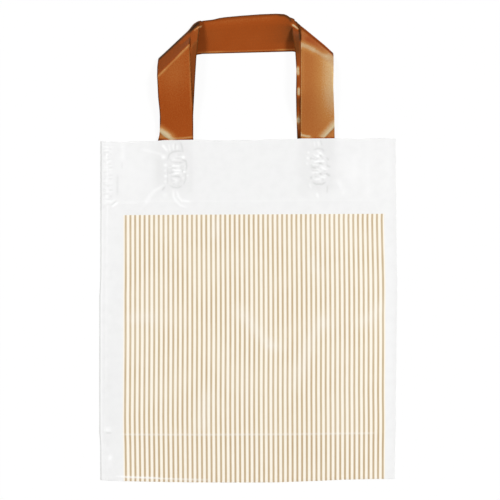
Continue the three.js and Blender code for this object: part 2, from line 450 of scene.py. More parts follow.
add_ply(REAR_HEM, hem_downs[::-1], lambda down: rear_mouth - down)
add_fold(REAR_HEM, REAR_PANEL, 0.0, rear_mouth, 1)
add_ply(REAR_PANEL, back_downs, lambda down: rear_mouth + down)
add_fold(REAR_PANEL, GUSSET_BACK, BOTTOM_DOWN, rear_bottom, -1)
add_ply(GUSSET_BACK, gusset_downs, lambda down: gusset_middle - (down - GUSSET_DOWN))
add_fold(GUSSET_BACK, GUSSET_FRONT, GUSSET_DOWN, gusset_middle, 1)
add_ply(GUSSET_FRONT, gusset_downs[::-1], lambda down: gusset_middle + (down - GUSSET_DOWN))
add_fold(GUSSET_FRONT, FRONT_PANEL, BOTTOM_DOWN, front_bottom, -1)
add_ply(FRONT_PANEL, front_downs, lambda down: front_mouth - down)
add_fold(FRONT_PANEL, FRONT_HEM, 0.0, front_mouth, 1)
add_ply(FRONT_HEM, hem_downs, lambda down: front_mouth + down)
print("rows:", len(rows), " film in mm:", round(2 * HALF_WIDTH / MM), "by", round(FILM_LENGTH / MM))


# %% The flat sheet as a grid
def keep_values(sheet, label, values):
    """Stores one number for each point of a sheet, for its finish to read."""
    layer = sheet.data.attributes.new(label, "FLOAT", "POINT")
    layer.data.foreach_set("value", np.asarray(values, np.float32))


def flat_sheet(name, across, along):
    """A grid whose points keep their stations on the flat film as attributes."""
    deselect()
    bpy.ops.mesh.primitive_grid_add(x_subdivisions=len(across) - 1, y_subdivisions=len(along) - 1, size=1.0)
    sheet = bpy.context.object
    sheet.name = name
    sheet.data.name = name
    points = np.zeros(len(sheet.data.vertices) * 3)
    sheet.data.vertices.foreach_get("co", points)
    points = points.reshape(-1, 3)
    column = np.rint((points[:, 0] + 0.5) * (len(across) - 1)).astype(int)
    row = np.rint((points[:, 1] + 0.5) * (len(along) - 1)).astype(int)
    keep_values(sheet, "film_across", across[column])
    keep_values(sheet, "film_run", along[row])
    return sheet, column, row


def move_points(sheet, places):
    sheet.data.vertices.foreach_set("co", np.ascontiguousarray(places, np.float64).ravel())
    sheet.data.update()


runs = np.array([row[0] for row in rows])
bag, bag_column, bag_row = flat_sheet("bag_film", columns, runs)
print("flat sheet:", len(bag.data.polygons), "faces")

# %% Fold the sheet
LEAN_AT_MOUTH, LEAN_BELOW, LEAN_FADE = 1.1 * MM, 0.6 * MM, 40 * MM
BOTTOM_BOW = 2.0 * MM
RIGHT_FOOT_DRAW = 1.6 * MM
LEFT_DRAW = ([60, 77, 200, 250, 277, 307, 333], [0.0, 0.1, 0.1, -0.3, -0.6, -0.25, 0.05])
RIGHT_DRAW = (
    [60, 77, 108, 150, 200, 250, 277, 307, 333],
    [0, -1.55, -1.1, -0.5, -0.2, -0.2, 0.2, 0.3, 0.3],
)
SIDE_FADE = (137 * MM, 146 * MM)
LEFT_SIDE = ([0, 130, 138, 155, 293, 305, 342], [0.2, 0.1, 0.0, -0.9, -0.9, 0.0, 0.1])
RIGHT_SIDE = (
    [45, 55, 90, 138, 160, 176, 260, 290, 306, 342],
    [0, 0.45, 0.5, 1.6, 1.4, 0.8, 0.8, 1.2, 0.75, 0.75],
)
BOTTOM_EDGE = (
    [-148, -130, -60, 30, 50, 70, 95, 130, 146],
    [0, -0.3, -0.7, -0.85, -0.3, 0.1, 0.8, 0.7, 0.1],
)
LOW_SHARE, BOW_SHARE = 0.55, 0.8
SIDE_POWER = 8
MOUTH_EDGE = (
    [-148, -140, -125, -108, -95, -84, -56, -48, -20, 12, 26, 44, 54, 84, 96, 110, 122, 134, 148],
    [0.5, 0.3, -1, -0.4, -0.6, 0.5, 0.5, 0.3, -0.4, -0.4, 0.2, 0, 0.5, 0.4, 0, -1, 0, 0.3, -0.1],
)
MOUTH_FADE = 25 * MM


def lean(x, down):
    """How much higher the film lies on the right than on the left, as the bag lies a little askew."""
    return (LEAN_BELOW + LEAN_AT_MOUTH * np.exp(-down / LEAN_FADE)) * x / HALF_WIDTH


def settle(x, y, down):
    """The bag as it lies: askew, with a bowed bottom, uneven edges and its print drawn aside."""
    low = smooth_step(LOW_SHARE, 1.0, down / PANEL_DEPTH)
    bowed = smooth_step(BOW_SHARE, 1.0, down / PANEL_DEPTH)
    share = x / HALF_WIDTH
    drawn = along_edge(LEFT_DRAW, down) * (1.0 - share) + along_edge(RIGHT_DRAW, down) * (1.0 + share)
    drawn = drawn / 2 * (1.0 - smooth_step(*SIDE_FADE, np.abs(x)))
    left_side = along_edge(LEFT_SIDE, down) * np.clip(-share, 0.0, 1.0) ** SIDE_POWER
    right_side = along_edge(RIGHT_SIDE, down) - RIGHT_FOOT_DRAW * low
    right_side = right_side * np.clip(share, 0.0, 1.0) ** SIDE_POWER
    mouth = along_edge(MOUTH_EDGE, x) * (1.0 - smooth_step(0.0, MOUTH_FADE, down))
    bottom = (BOTTOM_BOW * share * share + along_edge(BOTTOM_EDGE, x)) * bowed
    return x + drawn + left_side + right_side, y + lean(x, down) + mouth + bottom


def ply_height(ply, x, down):
    """The height of one ply of the folded film."""
    if ply == FRONT_PANEL:
        return front_height(x, down)
    if ply == FRONT_HEM:
        return front_base(x, down) - hem_clearance(x)
    steps = {REAR_HEM: 1, REAR_PANEL: 0, GUSSET_BACK: 1, GUSSET_FRONT: 2}
    return REAR_HEIGHT + steps[ply] * ply_gap(x)


x = columns[bag_column]
first, second, turn, down, out = (
    np.array([row[field] for row in rows])[bag_row] for field in range(1, 6)
)
from_height, to_height = np.zeros(len(x)), np.zeros(len(x))
for ply in PLIES:
    for which, heights in ((first, from_height), (second, to_height)):
        here = which == ply
        heights[here] = ply_height(ply, x[here], down[here])
lift = to_height - from_height
z = from_height + lift * (1.0 - np.cos(np.pi * turn)) / 2
y = MOUTH_Y - down + out * np.abs(lift) / 2 * np.sin(np.pi * turn)
in_front = (first == FRONT_PANEL) & (second == FRONT_PANEL)
# The marks are kept to colour the front as well: painted highlights above 0, painted shade below 0.
keep_values(bag, "film_mark", np.where(in_front, front_marks(x, down), 0.0))
x, y = settle(x, y, down)
move_points(bag, np.stack([x, y, z], axis=1))
print("folded film in mm:", [round(float(v.max() - v.min()) / MM, 1) for v in (x, y, z)])

# %% [markdown]
# Film has a thickness, and the print is on its outside only. Solidify turns the sheet into a thin closed
# skin with an outer and an inner side, and gives the inner side the next material slot. The flat places
# of the film also make a good map for baking: the outer side in two columns, the plain inner side in a
# narrow band above them.

# %% Thickness and a map for the film
BAKE_MAP = "OFBake"
MAP_MARGIN, MAP_COLUMN, MAP_HEIGHT = 0.006, 0.488, 0.74
MAP_WIDTH = 1.0 - 2 * MAP_MARGIN
AT_END = 1e-6
BAND_LOW, BAND_HEIGHT = 0.76, 0.16
RIM_LOW, RIM_STEP, RIM_HEIGHT = 0.935, 0.014, 0.008
SMOOTH_ANGLE = math.radians(50)


def attribute_values(mesh, name):
    values = np.zeros(len(mesh.vertices), np.float32)
    mesh.attributes[name].data.foreach_get("value", values)
    return values


def bake_map(mesh, faces, points):
    """Lays out the skin that Solidify made from a sheet of so many faces and points."""
    across, run = attribute_values(mesh, "film_across"), attribute_values(mesh, "film_run")
    across = (across - across.min()) / np.ptp(across)
    run = (run - run.min()) / np.ptp(run)
    corner = np.zeros(len(mesh.loops), np.int32)
    mesh.loops.foreach_get("vertex_index", corner)
    sizes = np.zeros(len(mesh.polygons), np.int32)
    mesh.polygons.foreach_get("loop_total", sizes)
    face = np.repeat(np.arange(len(sizes)), sizes)

    def face_mean(values):
        return (np.bincount(face, values[corner]) / sizes)[face]

    a, r = across[corner], run[corner]
    mean_a, mean_r = face_mean(across), face_mean(run)
    second_half = mean_r > 0.5
    u = MAP_MARGIN + MAP_COLUMN * a + np.where(second_half, MAP_WIDTH - MAP_COLUMN, 0.0)
    v = MAP_MARGIN + MAP_HEIGHT * (2.0 * r - second_half)
    inner = (face >= faces) & (face < 2 * faces)
    u = np.where(inner, MAP_MARGIN + MAP_WIDTH * r, u)
    v = np.where(inner, BAND_LOW + BAND_HEIGHT * a, v)
    rim = face >= 2 * faces
    ends = (mean_r < AT_END) | (mean_r > 1 - AT_END)
    border = np.where(ends, 2 * (mean_r > 0.5), 2 * (mean_a > 0.5) + 1)
    u = np.where(rim, MAP_MARGIN + MAP_WIDTH * np.where(ends, a, r), u)
    v = np.where(rim, RIM_LOW + RIM_STEP * border + RIM_HEIGHT * (corner >= points), v)
    layer = mesh.uv_layers.new(name=BAKE_MAP)
    layer.data.foreach_set("uv", np.stack([u, v], axis=1).astype(np.float32).ravel())


def thicken(sheet, thickness):
    """Gives a sheet its thickness by an applied Solidify, its bake map and smooth shading."""
    faces, points = len(sheet.data.polygons), len(sheet.data.vertices)
    deselect()
    sheet.select_set(True)
    bpy.context.view_layer.objects.active = sheet
    solidify = sheet.modifiers.new("thickness", "SOLIDIFY")
    solidify.thickness = thickness
    solidify.offset = 0.0
    solidify.material_offset = 1
    bpy.ops.object.modifier_apply(modifier=solidify.name)
    bake_map(sheet.data, faces, points)
    bpy.ops.object.shade_smooth_by_angle(angle=SMOOTH_ANGLE)
    print(sheet.name, "has", sum(len(p.vertices) - 2 for p in sheet.data.polygons), "triangles")


# %% [markdown]
# Each handle is a strip of brown film, 34 mm wide. It comes out of the mouth, runs up as a leg, turns
# over at a corner and goes across as the bar. Folding a strip over a line at 45 degrees turns it by 90
# degrees, which is how the corner works: a point that is past the fold line goes round the roll and comes
# back underneath. The front strip wraps round the rear one, so its legs lie on top and its bar at the
# bottom.

# %% Sizes of the strips
STRIP_WIDTH = 34 * MM
STRIP_FILM = 0.2 * MM
TAIL_END_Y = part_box("front_handle")[0].y
TAIL_DROP = 0.6 * MM
EDGE_WIDTH = 6.0 * MM
DIAGONAL = math.sqrt(2.0)
ROLL_STEPS = 600

CORNERS = {
    "left": {"turn": math.radians(30), "crease": 4.0 * MM},
    "right": {"turn": math.radians(5), "crease": 8.0 * MM},
}
HANDLES = {
    "front_handle": {
        "half_span": 88 * MM,
        "corner_line": 278.0 * MM,
        "roll": {"left": 21.5 * MM, "right": 17 * MM},
        "leg_top": 12.9 * MM,
        "bar_height": 0.15 * MM,
        "shift": -1.5 * MM,
    },
    "rear_handle": {
        "half_span": 84 * MM,
        "corner_line": 275.5 * MM,
        "roll": {"left": 20.5 * MM, "right": 16 * MM},
        "leg_top": 12.3 * MM,
        "bar_height": 0.75 * MM,
        "shift": -2.0 * MM,
    },
}


def roll_shape(handle, side):
    """Distance round a corner, its reach and its fall: a crease, a slope and the edge turned under."""
    roll, corner = handle["roll"][side], CORNERS[side]
    around = np.linspace(0.0, roll, ROLL_STEPS)
    turned = corner["turn"] * smooth_step(0.0, corner["crease"], around)
    turned = turned + (np.pi - corner["turn"]) * smooth_step(roll - EDGE_WIDTH, roll, around)
    reach, drop = (
        np.concatenate([[0.0], np.cumsum((part(turned[1:]) + part(turned[:-1])) / 2 * around[1])])
        for part in (np.cos, np.sin)
    )
    return around, reach, drop * (handle["leg_top"] - handle["bar_height"]) / drop[-1]


print("strips in mm:", round(STRIP_WIDTH / MM), "wide and", round(STRIP_FILM / MM, 2), "thick")


# %% Lay a strip over its corners
def corner_start(handle, side):
    """Where the corner's fold starts on the strip's outer edge."""
    reach = roll_shape(handle, side)[1]
    return handle["corner_line"] - handle["half_span"] - DIAGONAL * reach.max()


def lay_strip(from_edge, along, handle, side):
    """Left-hand places of strip points, from their distance from the outer edge and along the strip."""
    around, reach, fall = roll_shape(handle, side)
    length = handle["roll"][side]
    start = corner_start(handle, side)
    past = (along - start - from_edge) / DIAGONAL
    turned = np.clip(past, 0.0, length)
    out = np.interp(turned, around, reach) + np.minimum(past, 0.0) - np.maximum(past - length, 0.0)
    x = -handle["half_span"] + from_edge + (past - out) / DIAGONAL
    y = start + from_edge + (past + out) / DIAGONAL
    return np.stack([x, y, past / length, np.interp(turned, around, fall)])


def half_length(handle, side):
    """The strip's length from the end of a tail to the middle of the bar."""
    around, reach, fall = roll_shape(handle, side)
    over_corner = (around[-1] + reach[-1]) / DIAGONAL
    return corner_start(handle, side) + handle["half_span"] + over_corner - TAIL_END_Y


for name, handle in HANDLES.items():
    halves = [half_length(handle, side) for side in CORNERS]
    print(name, "strip in mm:", round(sum(halves) / MM, 1))

# %% [markdown]
# Real strips don't run true. The legs sway a little, narrow towards the top where they cup, and splay at
# the foot, and the bar lies askew with its right end higher. Each edge gets a few places, in millimetres,
# where it was measured against the ideal strip, and the film between the two edges follows both.

# %% How the legs sway and the bar lies askew
LEG_EDGES = {
    ("front_handle", "left"): {
        "outer": (
            [109, 114, 120, 130, 139, 151, 167, 183, 192],
            [-0.5, 0.8, 1.4, 1.6, 1.1, -0.1, -0.8, -1.9, -1.6],
        ),
        "inner": ([143, 158, 182, 206], [0.8, 0.0, -1.6, -2.6]),
    },
    ("front_handle", "right"): {
        "outer": ([111, 134, 162, 192, 200], [0.2, -0.2, -1.4, -0.8, 0.2]),
        "inner": ([109, 200], [0.3, 0.3]),
    },
    ("rear_handle", "left"): {
        "outer": ([110, 130, 150, 172, 193, 225], [-2.4, -2.2, -1.5, -1.0, 0.0, 1.0]),
        "inner": ([110, 150, 172, 192, 200, 225], [-4.2, -1.8, -0.6, 0.6, 1.8, 3.4]),
    },
    ("rear_handle", "right"): {
        "outer": ([110, 194, 210, 230], [1.0, 0.0, -1.0, -2.0]),
        "inner": (
            [111, 138, 154, 178, 194, 199, 209, 230],
            [1.3, 0.2, -0.2, 0.2, -0.8, -1.3, -3.1, -5.0],
        ),
    },
}
BAR_BOTTOM = ([-55, 55], [195.2, 198.1])
BAR_TOP = (
    [-60, -55, -50, -45, -35, -28, -22, -8, 12, 28, 36, 39, 42, 46, 49, 52, 55],
    [
        220.4, 225.3, 227.9, 228.7, 229.9, 231.6, 232.4, 233.7, 235.2,
        235.8, 235.4, 234.3, 232.2, 230.8, 229.7, 225.5, 222.5,
    ],
)
HIDDEN_BAR_INSET = 1.2
CORNER_BULGE = ((-52.5, 221.5), (4.0, 4.0), 2.0)
BAR_ENDS = (44 * MM, 58 * MM)
BAR_LEAN, BAR_LEAN_RISE = 1.5 * MM, (130 * MM, 200 * MM)
CORNER_RISE = (0.0, 0.6)
CORNER_SWAY = {
    ("front_handle", "left"): (0.3, -3.3),
    ("front_handle", "right"): (5.2, -0.5),
    ("rear_handle", "left"): (0.4, 5.4),
    ("rear_handle", "right"): (4.0, -1.0),
}


def sway(name, x, y, from_edge, on_right, in_bar, turn):
    """Moves a smooth strip to where the real one lies."""
    share = from_edge / STRIP_WIDTH
    for side, here in (("left", ~on_right), ("right", on_right)):
        edges = LEG_EDGES[name, side]
        moved = along_edge(edges["outer"], y) * (1.0 - share) + along_edge(edges["inner"], y) * share
        x = x + np.where(here, moved, 0.0) * (1.0 - in_bar)
        outer, inner = CORNER_SWAY[name, side]
        raised = (outer * (1.0 - share) + inner * share) * MM * smooth_step(*CORNER_RISE, turn)
        y = y + np.where(here, raised, 0.0) * (1.0 - in_bar)
    inset = HIDDEN_BAR_INSET * MM if name == "front_handle" else 0.0
    bottom, top = along_edge(BAR_BOTTOM, x) + inset, along_edge(BAR_TOP, x) - inset
    lean_up = BAR_LEAN * smooth_step(*BAR_LEAN_RISE, y) * x / HALF_WIDTH
    y = (y + lean_up) * (1.0 - in_bar) + (bottom + share * (top - bottom)) * in_bar
    if name == "rear_handle":
        y = np.minimum(y + dimple(x, y, *CORNER_BULGE) * MM, along_edge(BAR_TOP, x))
    return x, y


# %% [markdown]
# A strip that has been packed flat and opened is not flat any more. Its legs cup along the edges, a fold
# runs across the lower outer corner of each front leg, and the right leg leans towards the light, which
# gives it a pale sheen. These are again small heights added to the smooth path, so that the light finds
# them from any side. The rear strip lies against the front one and takes the same heights.


# %% Creases of the legs
CREASE_FADES, CREASE_POWER = ((-0.25, 0.1), (0.9, 1.25)), 1.5


def crease(x, y, start, end, long_side, short_side, height):
    """A sharp fold along a line, with its long side on the left of the line's direction."""
    start, end = np.array(start) * MM, np.array(end) * MM
    size = np.linalg.norm(end - start)
    way = (end - start) / size
    along = ((x - start[0]) * way[0] + (y - start[1]) * way[1]) / size
    side = (y - start[1]) * way[0] - (x - start[0]) * way[1]
    rise = np.where(side > 0, 1.0 - side / (long_side * MM), 1.0 + side / (short_side * MM))
    ends = soft_span(along, *CREASE_FADES)
    return height * MM * np.clip(rise, 0.0, 1.0) ** CREASE_POWER * ends


LEG_CREASES = [
    ((-92, 120.4), (-76.5, 108.8), 9, 2, 1.5),
    ((74, 109.4), (88.5, 124.6), 8, 1.2, 1.5),
]
RIGHT_INNER, RIGHT_LIFT = 51 * MM, 2.0 * MM
TILT_START, TILT_GROWTH, TILT_RISE = 0.10, 0.14, (109 * MM, 160 * MM)
RIGHT_FALL, FALL_START, FALL_RISE = 0.05, 150 * MM, (135 * MM, 175 * MM)
BEND_START, BEND_ACROSS = (53 * MM, 202.2 * MM), (0.419, 0.908)
BEND_WIDTH, BEND_SLOPE = 11 * MM, 0.58


def corner_bend(x, y):
    """How far the right leg has bent down towards its corner, in a soft bend that runs aslant."""
    past = (x - BEND_START[0]) * BEND_ACROSS[0] + (y - BEND_START[1]) * BEND_ACROSS[1]
    share = np.clip(past / BEND_WIDTH + 0.5, 0.0, 1.0)
    return BEND_SLOPE * (BEND_WIDTH * (share**3 - share**4 / 2) + np.maximum(past - BEND_WIDTH / 2, 0.0))


def leg_relief(x, y):
    """What the legs add to their smooth path: the low folds, and the right leg's lean and bend."""
    height = sum(crease(x, y, *line) for line in LEG_CREASES)
    inward = np.clip(x - RIGHT_INNER, 0.0, None)
    tilt = RIGHT_LIFT - TILT_START * inward - TILT_GROWTH * inward**3 / (3 * STRIP_WIDTH**2)
    tilt = tilt * smooth_step(*TILT_RISE, y)
    sink = RIGHT_FALL * (y - FALL_START) * smooth_step(*FALL_RISE, y)
    return height + (x > 0) * (tilt - sink - corner_bend(x, y))


# %% [markdown]
# Light and shade are also painted on the strips: painted highlights on the folds and crease bands, a
# painted sheen over the right leg, and painted shade in the corners, along the fold edges, where one strip
# lies close under the other, at the bar's ends and along the overlap lines. The bar's side starts a little
# deeper in tone. These are kept as one more value on the strip's points: above 0 the film is paler with a
# painted highlight, below 0 it is deeper with painted shade.

# %% Painted highlights and shade on the strips
# These strokes and patches paint light on the strips: above 0 painted highlights and glints, below 0
# painted shade, such as the dark line along RIGHT_OVERLAP where the front strip's edge lies over the rear
# one.
RIGHT_SHINE = ([(44, 225.0), (47, 223.0), (51, 219.9)], 1.4, 1.9)
RIGHT_OVERLAP = [(46.5, 229.8), (50.3, 225.2), (51.5, 219.5), (51.9, 208)]
FRONT_STROKES = [
    ([(-90, 172), (-82, 180)], 1.2, 0.55),
    ([(-82.5, 179.5), (-70, 192)], 1, 0.32),
    ([(-71, 191), (-58, 204)], 1.2, 0.5),
    ([(-58.2, 204), (-57.6, 170), (-56.8, 138)], 0.8, 0.22),
    ([(51.5, 204.8), (60, 201.7), (68, 197.6)], 3.5, 0.55),
    ([(67, 197.8), (75, 193.4), (81, 191)], 2, 0.24),
    ([(56, 212), (81, 197.6)], 4.4, -0.3),
    ([(53.2, 206), (53.1, 150), (53, 112)], 0.7, 0.36),
    ([(-92, 109.2), (-82, 109.2)], 0.8, -1.4),
    ([(-76, 110.2), (-64, 110.8), (-54.5, 112)], 0.9, 0.7),
    ([(-74, 108.9), (-64, 109.2), (-54, 110)], 0.6, -1),
    ([(-88, 121), (-82, 117), (-77, 113)], 1.6, 0.22),
    ([(52.4, 115.8), (53.8, 113.8), (63, 112.2)], 1.1, 0.75),
    ([(66, 110.6), (76, 110.9), (89, 111.1)], 0.7, -0.9),
    ([(74, 111), (88, 125.5)], 2.2, -0.16),
    (RIGHT_OVERLAP, 0.7, -1.3),
]
FRONT_PATCHES = [
    ((-73, 180), (17, 24), 0.14),
    ((-84.5, 112.5), (6, 5), 0.42),
    ((83, 112), (5, 4), 0.1),
]
REAR_STROKES = [
    ([(-56.5, 216.8), (-52, 219.8), (-46.5, 223.2)], 0.8, 0.9),
    ([(-57.8, 217.4), (-55.2, 221), (-50.6, 225), (-44, 227)], 1.9, -2.1),
    ([(-70, 207.4), (-63.5, 213.4), (-57.5, 218.9)], 0.9, -1.3),
    RIGHT_SHINE,
    (RIGHT_OVERLAP, 0.8, -1.3),
    ([(49.5, 194), (48.5, 216)], 4.5, -0.55),
    ([(49.8, 182), (49.7, 178.5), (50, 173)], 1.6, 1),
    ([(50.5, 161), (50.5, 152.8)], 1.6, 1),
    ([(50.5, 151), (50.5, 144)], 2, -0.4),
    ([(50.2, 131.2), (50.2, 126.6)], 1.8, 0.9),
    ([(50.6, 139), (50.9, 117)], 2.2, 0.36),
    ([(51, 113), (51, 110)], 2.5, -0.9),
]
BAR_STROKES = [
    ([(-52, 196.9), (0, 198.5), (52, 200.3)], 0.8, 0.36),
    ([(-54, 196.8), (-24, 197.8)], 0.8, 0.3),
    ([(28, 199.5), (52, 200.3)], 0.8, 0.5),
    ([(-52, 196), (-50, 224)], 14, -0.15),
    ([(-50.5, 220.9), (-46.2, 223.6)], 0.9, 1),
    ([(47, 207), (47, 225)], 7, -0.44),
    ([(46, 205), (46, 226)], 20, -0.36),
    ([(-48, 226), (-28, 229), (-8, 231), (12, 232.4), (34, 232)], 5.5, 0.2),
    RIGHT_SHINE,
    ([(-46, 227), (-28, 229.9), (-8, 232), (12, 233.4), (28, 234.6), (37, 234)], 0.9, -0.5),
    ([(30, 235), (37, 234), (42, 231), (43.2, 228)], 1.1, -1),
    (RIGHT_OVERLAP, 0.7, -1.3),
]
# Painted shade in the corners, along the fold edges and where the rear strip lies under the front one; the
# bar's side starts a little deeper.
BAR_TONE, CORNER_TONE, REAR_CORNER_TONE = -0.12, -0.5, -0.5 / 3
CORNER_START, LIT_RISE = (0.06, 0.22), (0.1, 0.5)
INNER_TONE, RIGHT_INNER_TONE = -0.58, -0.28
FOLD_LINE, FOLD_TONE = (0.20, 0.11), -1.4
INNER_SHADE = (26.5 * MM, 29.5 * MM)
# A painted sheen over the whole right leg, and a stronger one in its upper outer part.
RIGHT_SHEEN_TONE = 0.26
SHEEN_ACROSS, SHEEN_UP, RIGHT_SHEEN_PATCH = (60 * MM, 86 * MM), (100 * MM, 162 * MM), 0.50


def leg_tone(name, x, y, from_edge, turn, edge, on_right):
    """The painted highlights and shade on the side of the film that faces up, before it turns under."""
    in_corner = smooth_step(*CORNER_START, turn) * ~on_right
    if name == "rear_handle":
        # Painted shade where the rear strip lies close under the front one and in its corner.
        shade = np.where(on_right, RIGHT_INNER_TONE, INNER_TONE) * smooth_step(*INNER_SHADE, from_edge)
        shade = shade * (1.0 - in_corner) + REAR_CORNER_TONE * in_corner
        lit = strokes(x, y, REAR_STROKES)
        return lit + shade * (1.0 - smooth_step(*LIT_RISE, lit))
    at_fold = smooth_step(edge - FOLD_LINE[0], edge - FOLD_LINE[1], turn)
    tone = strokes(x, y, FRONT_STROKES) + patches(x, y, FRONT_PATCHES)
    # Painted shade in the roll of the left corner and along the fold edge.
    tone = tone + CORNER_TONE * in_corner + FOLD_TONE * at_fold
    # Painted highlights along the low creases.
    tone = tone + sum(crease(x, y, *line[:-1], 1.0) for line in LEG_CREASES) / MM
    # A painted sheen on the right leg, strongest in its upper outer part, where it leans towards the right
    # lamp.
    pale = RIGHT_SHEEN_PATCH * smooth_step(*SHEEN_ACROSS, x) * smooth_step(*SHEEN_UP, y)
    return tone + (RIGHT_SHEEN_TONE + pale) * on_right


print("strokes on the strips:", len(FRONT_STROKES) + len(REAR_STROKES) + len(BAR_STROKES))

# %% [markdown]
# Now both strips can be made. Each starts as a flat grid of its own length, so that its flat size is
# known. It is laid over its corners and swayed, and then it gets its heights: the tails lie between the
# hems, the legs climb out of the mouth, and the bar lies low on the table. The painted highlights and
# shade are kept on the same points.

# %% Both strips
LEG_ROWS, STRIP_COLUMNS = 1.0, 0.75
LEG_FOOT = 3 * MM
LEG_CLIMB = 58 * MM
EDGE_CURL, EDGE_CURL_WIDTH, EDGE_CURL_PLACE = 0.16 * MM, 1.3 * MM, 1.2
EDGE_SOFT = 0.1


def make_handle(name, handle, tail_height):
    """One handle: a flat strip, laid over its corners, sunk between the hems."""
    left_half, right_half = (half_length(handle, side) for side in ("left", "right"))
    length = left_half + right_half
    runs = np.linspace(0.0, length, round(length / (LEG_ROWS * MM)) + 1)
    across = stations((0, STRIP_WIDTH / MM, STRIP_COLUMNS))
    strip, column, row = flat_sheet(name + "_film", across, runs)
    from_edge, run = across[column], runs[row]
    on_right = run > left_half
    left = lay_strip(from_edge, TAIL_END_Y + run, handle, "left")
    right = lay_strip(from_edge, TAIL_END_Y + length - run, handle, "right")
    x, y, turn, fall = np.where(on_right, right, left)
    x = np.where(on_right, -x, x) + handle["shift"]
    roll = np.where(on_right, handle["roll"]["right"], handle["roll"]["left"])
    edge = 1.0 - EDGE_WIDTH / 2 / roll
    in_bar = (turn > edge) * (1.0 - smooth_step(*BAR_ENDS, np.abs(x)))
    x, y = sway(name, x, y, from_edge, on_right, in_bar, turn)
    above = y - MOUTH_Y - lean(x, 0.0)
    out_of_bag = smooth_step(0.0, LEG_FOOT, above)
    tail = tail_height(x, np.clip(-above, 0.0, HEM_DEPTH))
    climb = smooth_step(0.0, LEG_CLIMB, above)
    in_leg = out_of_bag * (1.0 - smooth_step(edge - EDGE_SOFT, edge + EDGE_SOFT, turn))
    from_side = np.minimum(from_edge, STRIP_WIDTH - from_edge)
    curl = EDGE_CURL * np.exp(-((from_side / EDGE_CURL_WIDTH - EDGE_CURL_PLACE) ** 2))
    z = tail + (handle["leg_top"] - tail) * climb - fall
    z = z + leg_relief(x, y) * in_leg + curl * out_of_bag * (name == "front_handle")
    upper = leg_tone(name, x, y, from_edge, turn, edge, on_right)
    # The side that turns under starts a little deeper, with painted shade at the bar's ends and painted
    # highlights along its edges.
    under = BAR_TONE + strokes(x, y, BAR_STROKES)
    keep_values(strip, "film_tone", np.where(turn < edge, upper, under))
    move_points(strip, np.stack([x, y, np.maximum(z, STRIP_FILM / 2)], axis=1))
    return strip, length


def front_tail(x, down):
    return front_base(x, down) - hem_clearance(x) - TAIL_DROP


def rear_tail(x, down):
    return REAR_HEIGHT + ply_gap(x) + TAIL_DROP / 2


strips = {
    name: make_handle(name, HANDLES[name], tail_height)
    for name, tail_height in (("front_handle", front_tail), ("rear_handle", rear_tail))
}
for sheet, thickness in ((bag, FILM), *((strip, STRIP_FILM) for strip, length in strips.values())):
    thicken(sheet, thickness)

# %% [markdown]
# Finishes are node trees. Writing them as sums keeps them readable, so one small class stands for a
# socket: adding or multiplying it makes the Math node, and its node method makes any other node from its
# type, its settings and what goes into its sockets.


# %% Sockets that can be used in sums
class Wire:
    """An output socket of a node tree, or the bare tree where it has no socket yet."""

    def __init__(self, tree, socket=None):
        self.tree = tree
        self.socket = socket

    def node(self, kind, settings=None, inputs=None, output=0):
        made = self.tree.nodes.new(kind)
        for name, value in (settings or {}).items():
            setattr(made, name, value)
        for name, value in (inputs or {}).items():
            if isinstance(value, Wire):
                self.tree.links.new(value.socket, made.inputs[name])
            else:
                made.inputs[name].default_value = value
        return Wire(self.tree, made.outputs[output] if len(made.outputs) else None)

    def math(self, operation, *values):
        return self.node("ShaderNodeMath", {"operation": operation}, dict(enumerate(values)))

    def __add__(self, other):
        return self.math("ADD", self, other)

    __radd__ = __add__

    def __sub__(self, other):
        return self.math("SUBTRACT", self, other)

    def __rsub__(self, other):
        return self.math("SUBTRACT", other, self)

    def __mul__(self, other):
        return self.math("MULTIPLY", self, other)

    __rmul__ = __mul__

    def __truediv__(self, other):
        return self.math("DIVIDE", self, other)

    def __rtruediv__(self, other):
        return self.math("DIVIDE", other, self)

    def __neg__(self):
        return self.math("MULTIPLY", self, -1.0)

    def __abs__(self):
        return self.math("ABSOLUTE", self)


MIX_A, MIX_B, MIX_RESULT = 6, 7, 2


def blend_colours(wire, share, low, high):
    """Goes from colour low to colour high as share goes from 0 to 1."""
    return wire.node(
        "ShaderNodeMix",
        {"data_type": "RGBA"},
        {"Factor": share, MIX_A: low, MIX_B: high},
        MIX_RESULT,
    )


def soft_edge(value, low, high):
    """0 below low and 1 above high, with a soft S between."""
    return value.node(
        "ShaderNodeMapRange",
        {"interpolation_type": "SMOOTHSTEP"},
        {"Value": value, "From Min": low, "From Max": high},
    )


def soft_band(value, low, high, softness):
    """1 between low and high, with both edges soft on the inside."""
    return soft_edge(value, low, low + softness) * (1 - soft_edge(value, high - softness, high))


def above_zero(value):
    """A value, or 0 where it is below 0."""
    return value.math("MAXIMUM", value, 0.0)


def soft_share(value):
    """A value held between 0 and 1."""
    return value.node("ShaderNodeClamp", {}, {"Value": value})


def attribute(wire, name):
    return wire.node("ShaderNodeAttribute", {"attribute_name": name}, output="Fac")


def grain(wire, vector, scale, detail=2.0):
    return wire.node("ShaderNodeTexNoise", {}, {"Vector": vector, "Scale": scale, "Detail": detail}, "Fac")


def finish(name):
    """A new material with an empty node tree."""
    material = bpy.data.materials.new(name)
    material.use_nodes = True
    material.node_tree.nodes.clear()
    return material, Wire(material.node_tree)


# %% What all the films share
FILM_INDEX = 1.5
GLOSS_CLOUD = 0.1
BUMP_DEPTH = 0.05 * MM


def film_place(tree):
    """The flat places of a film: across it, along it and both as a vector."""
    across, run = attribute(tree, "film_across"), attribute(tree, "film_run")
    return across, run, tree.node("ShaderNodeCombineXYZ", {}, {"X": across, "Y": run})


def ripple(height, strength):
    """A faint unevenness of the film's face."""
    sockets = {"Strength": strength, "Distance": BUMP_DEPTH, "Height": height}
    return height.node("ShaderNodeBump", {}, sockets)


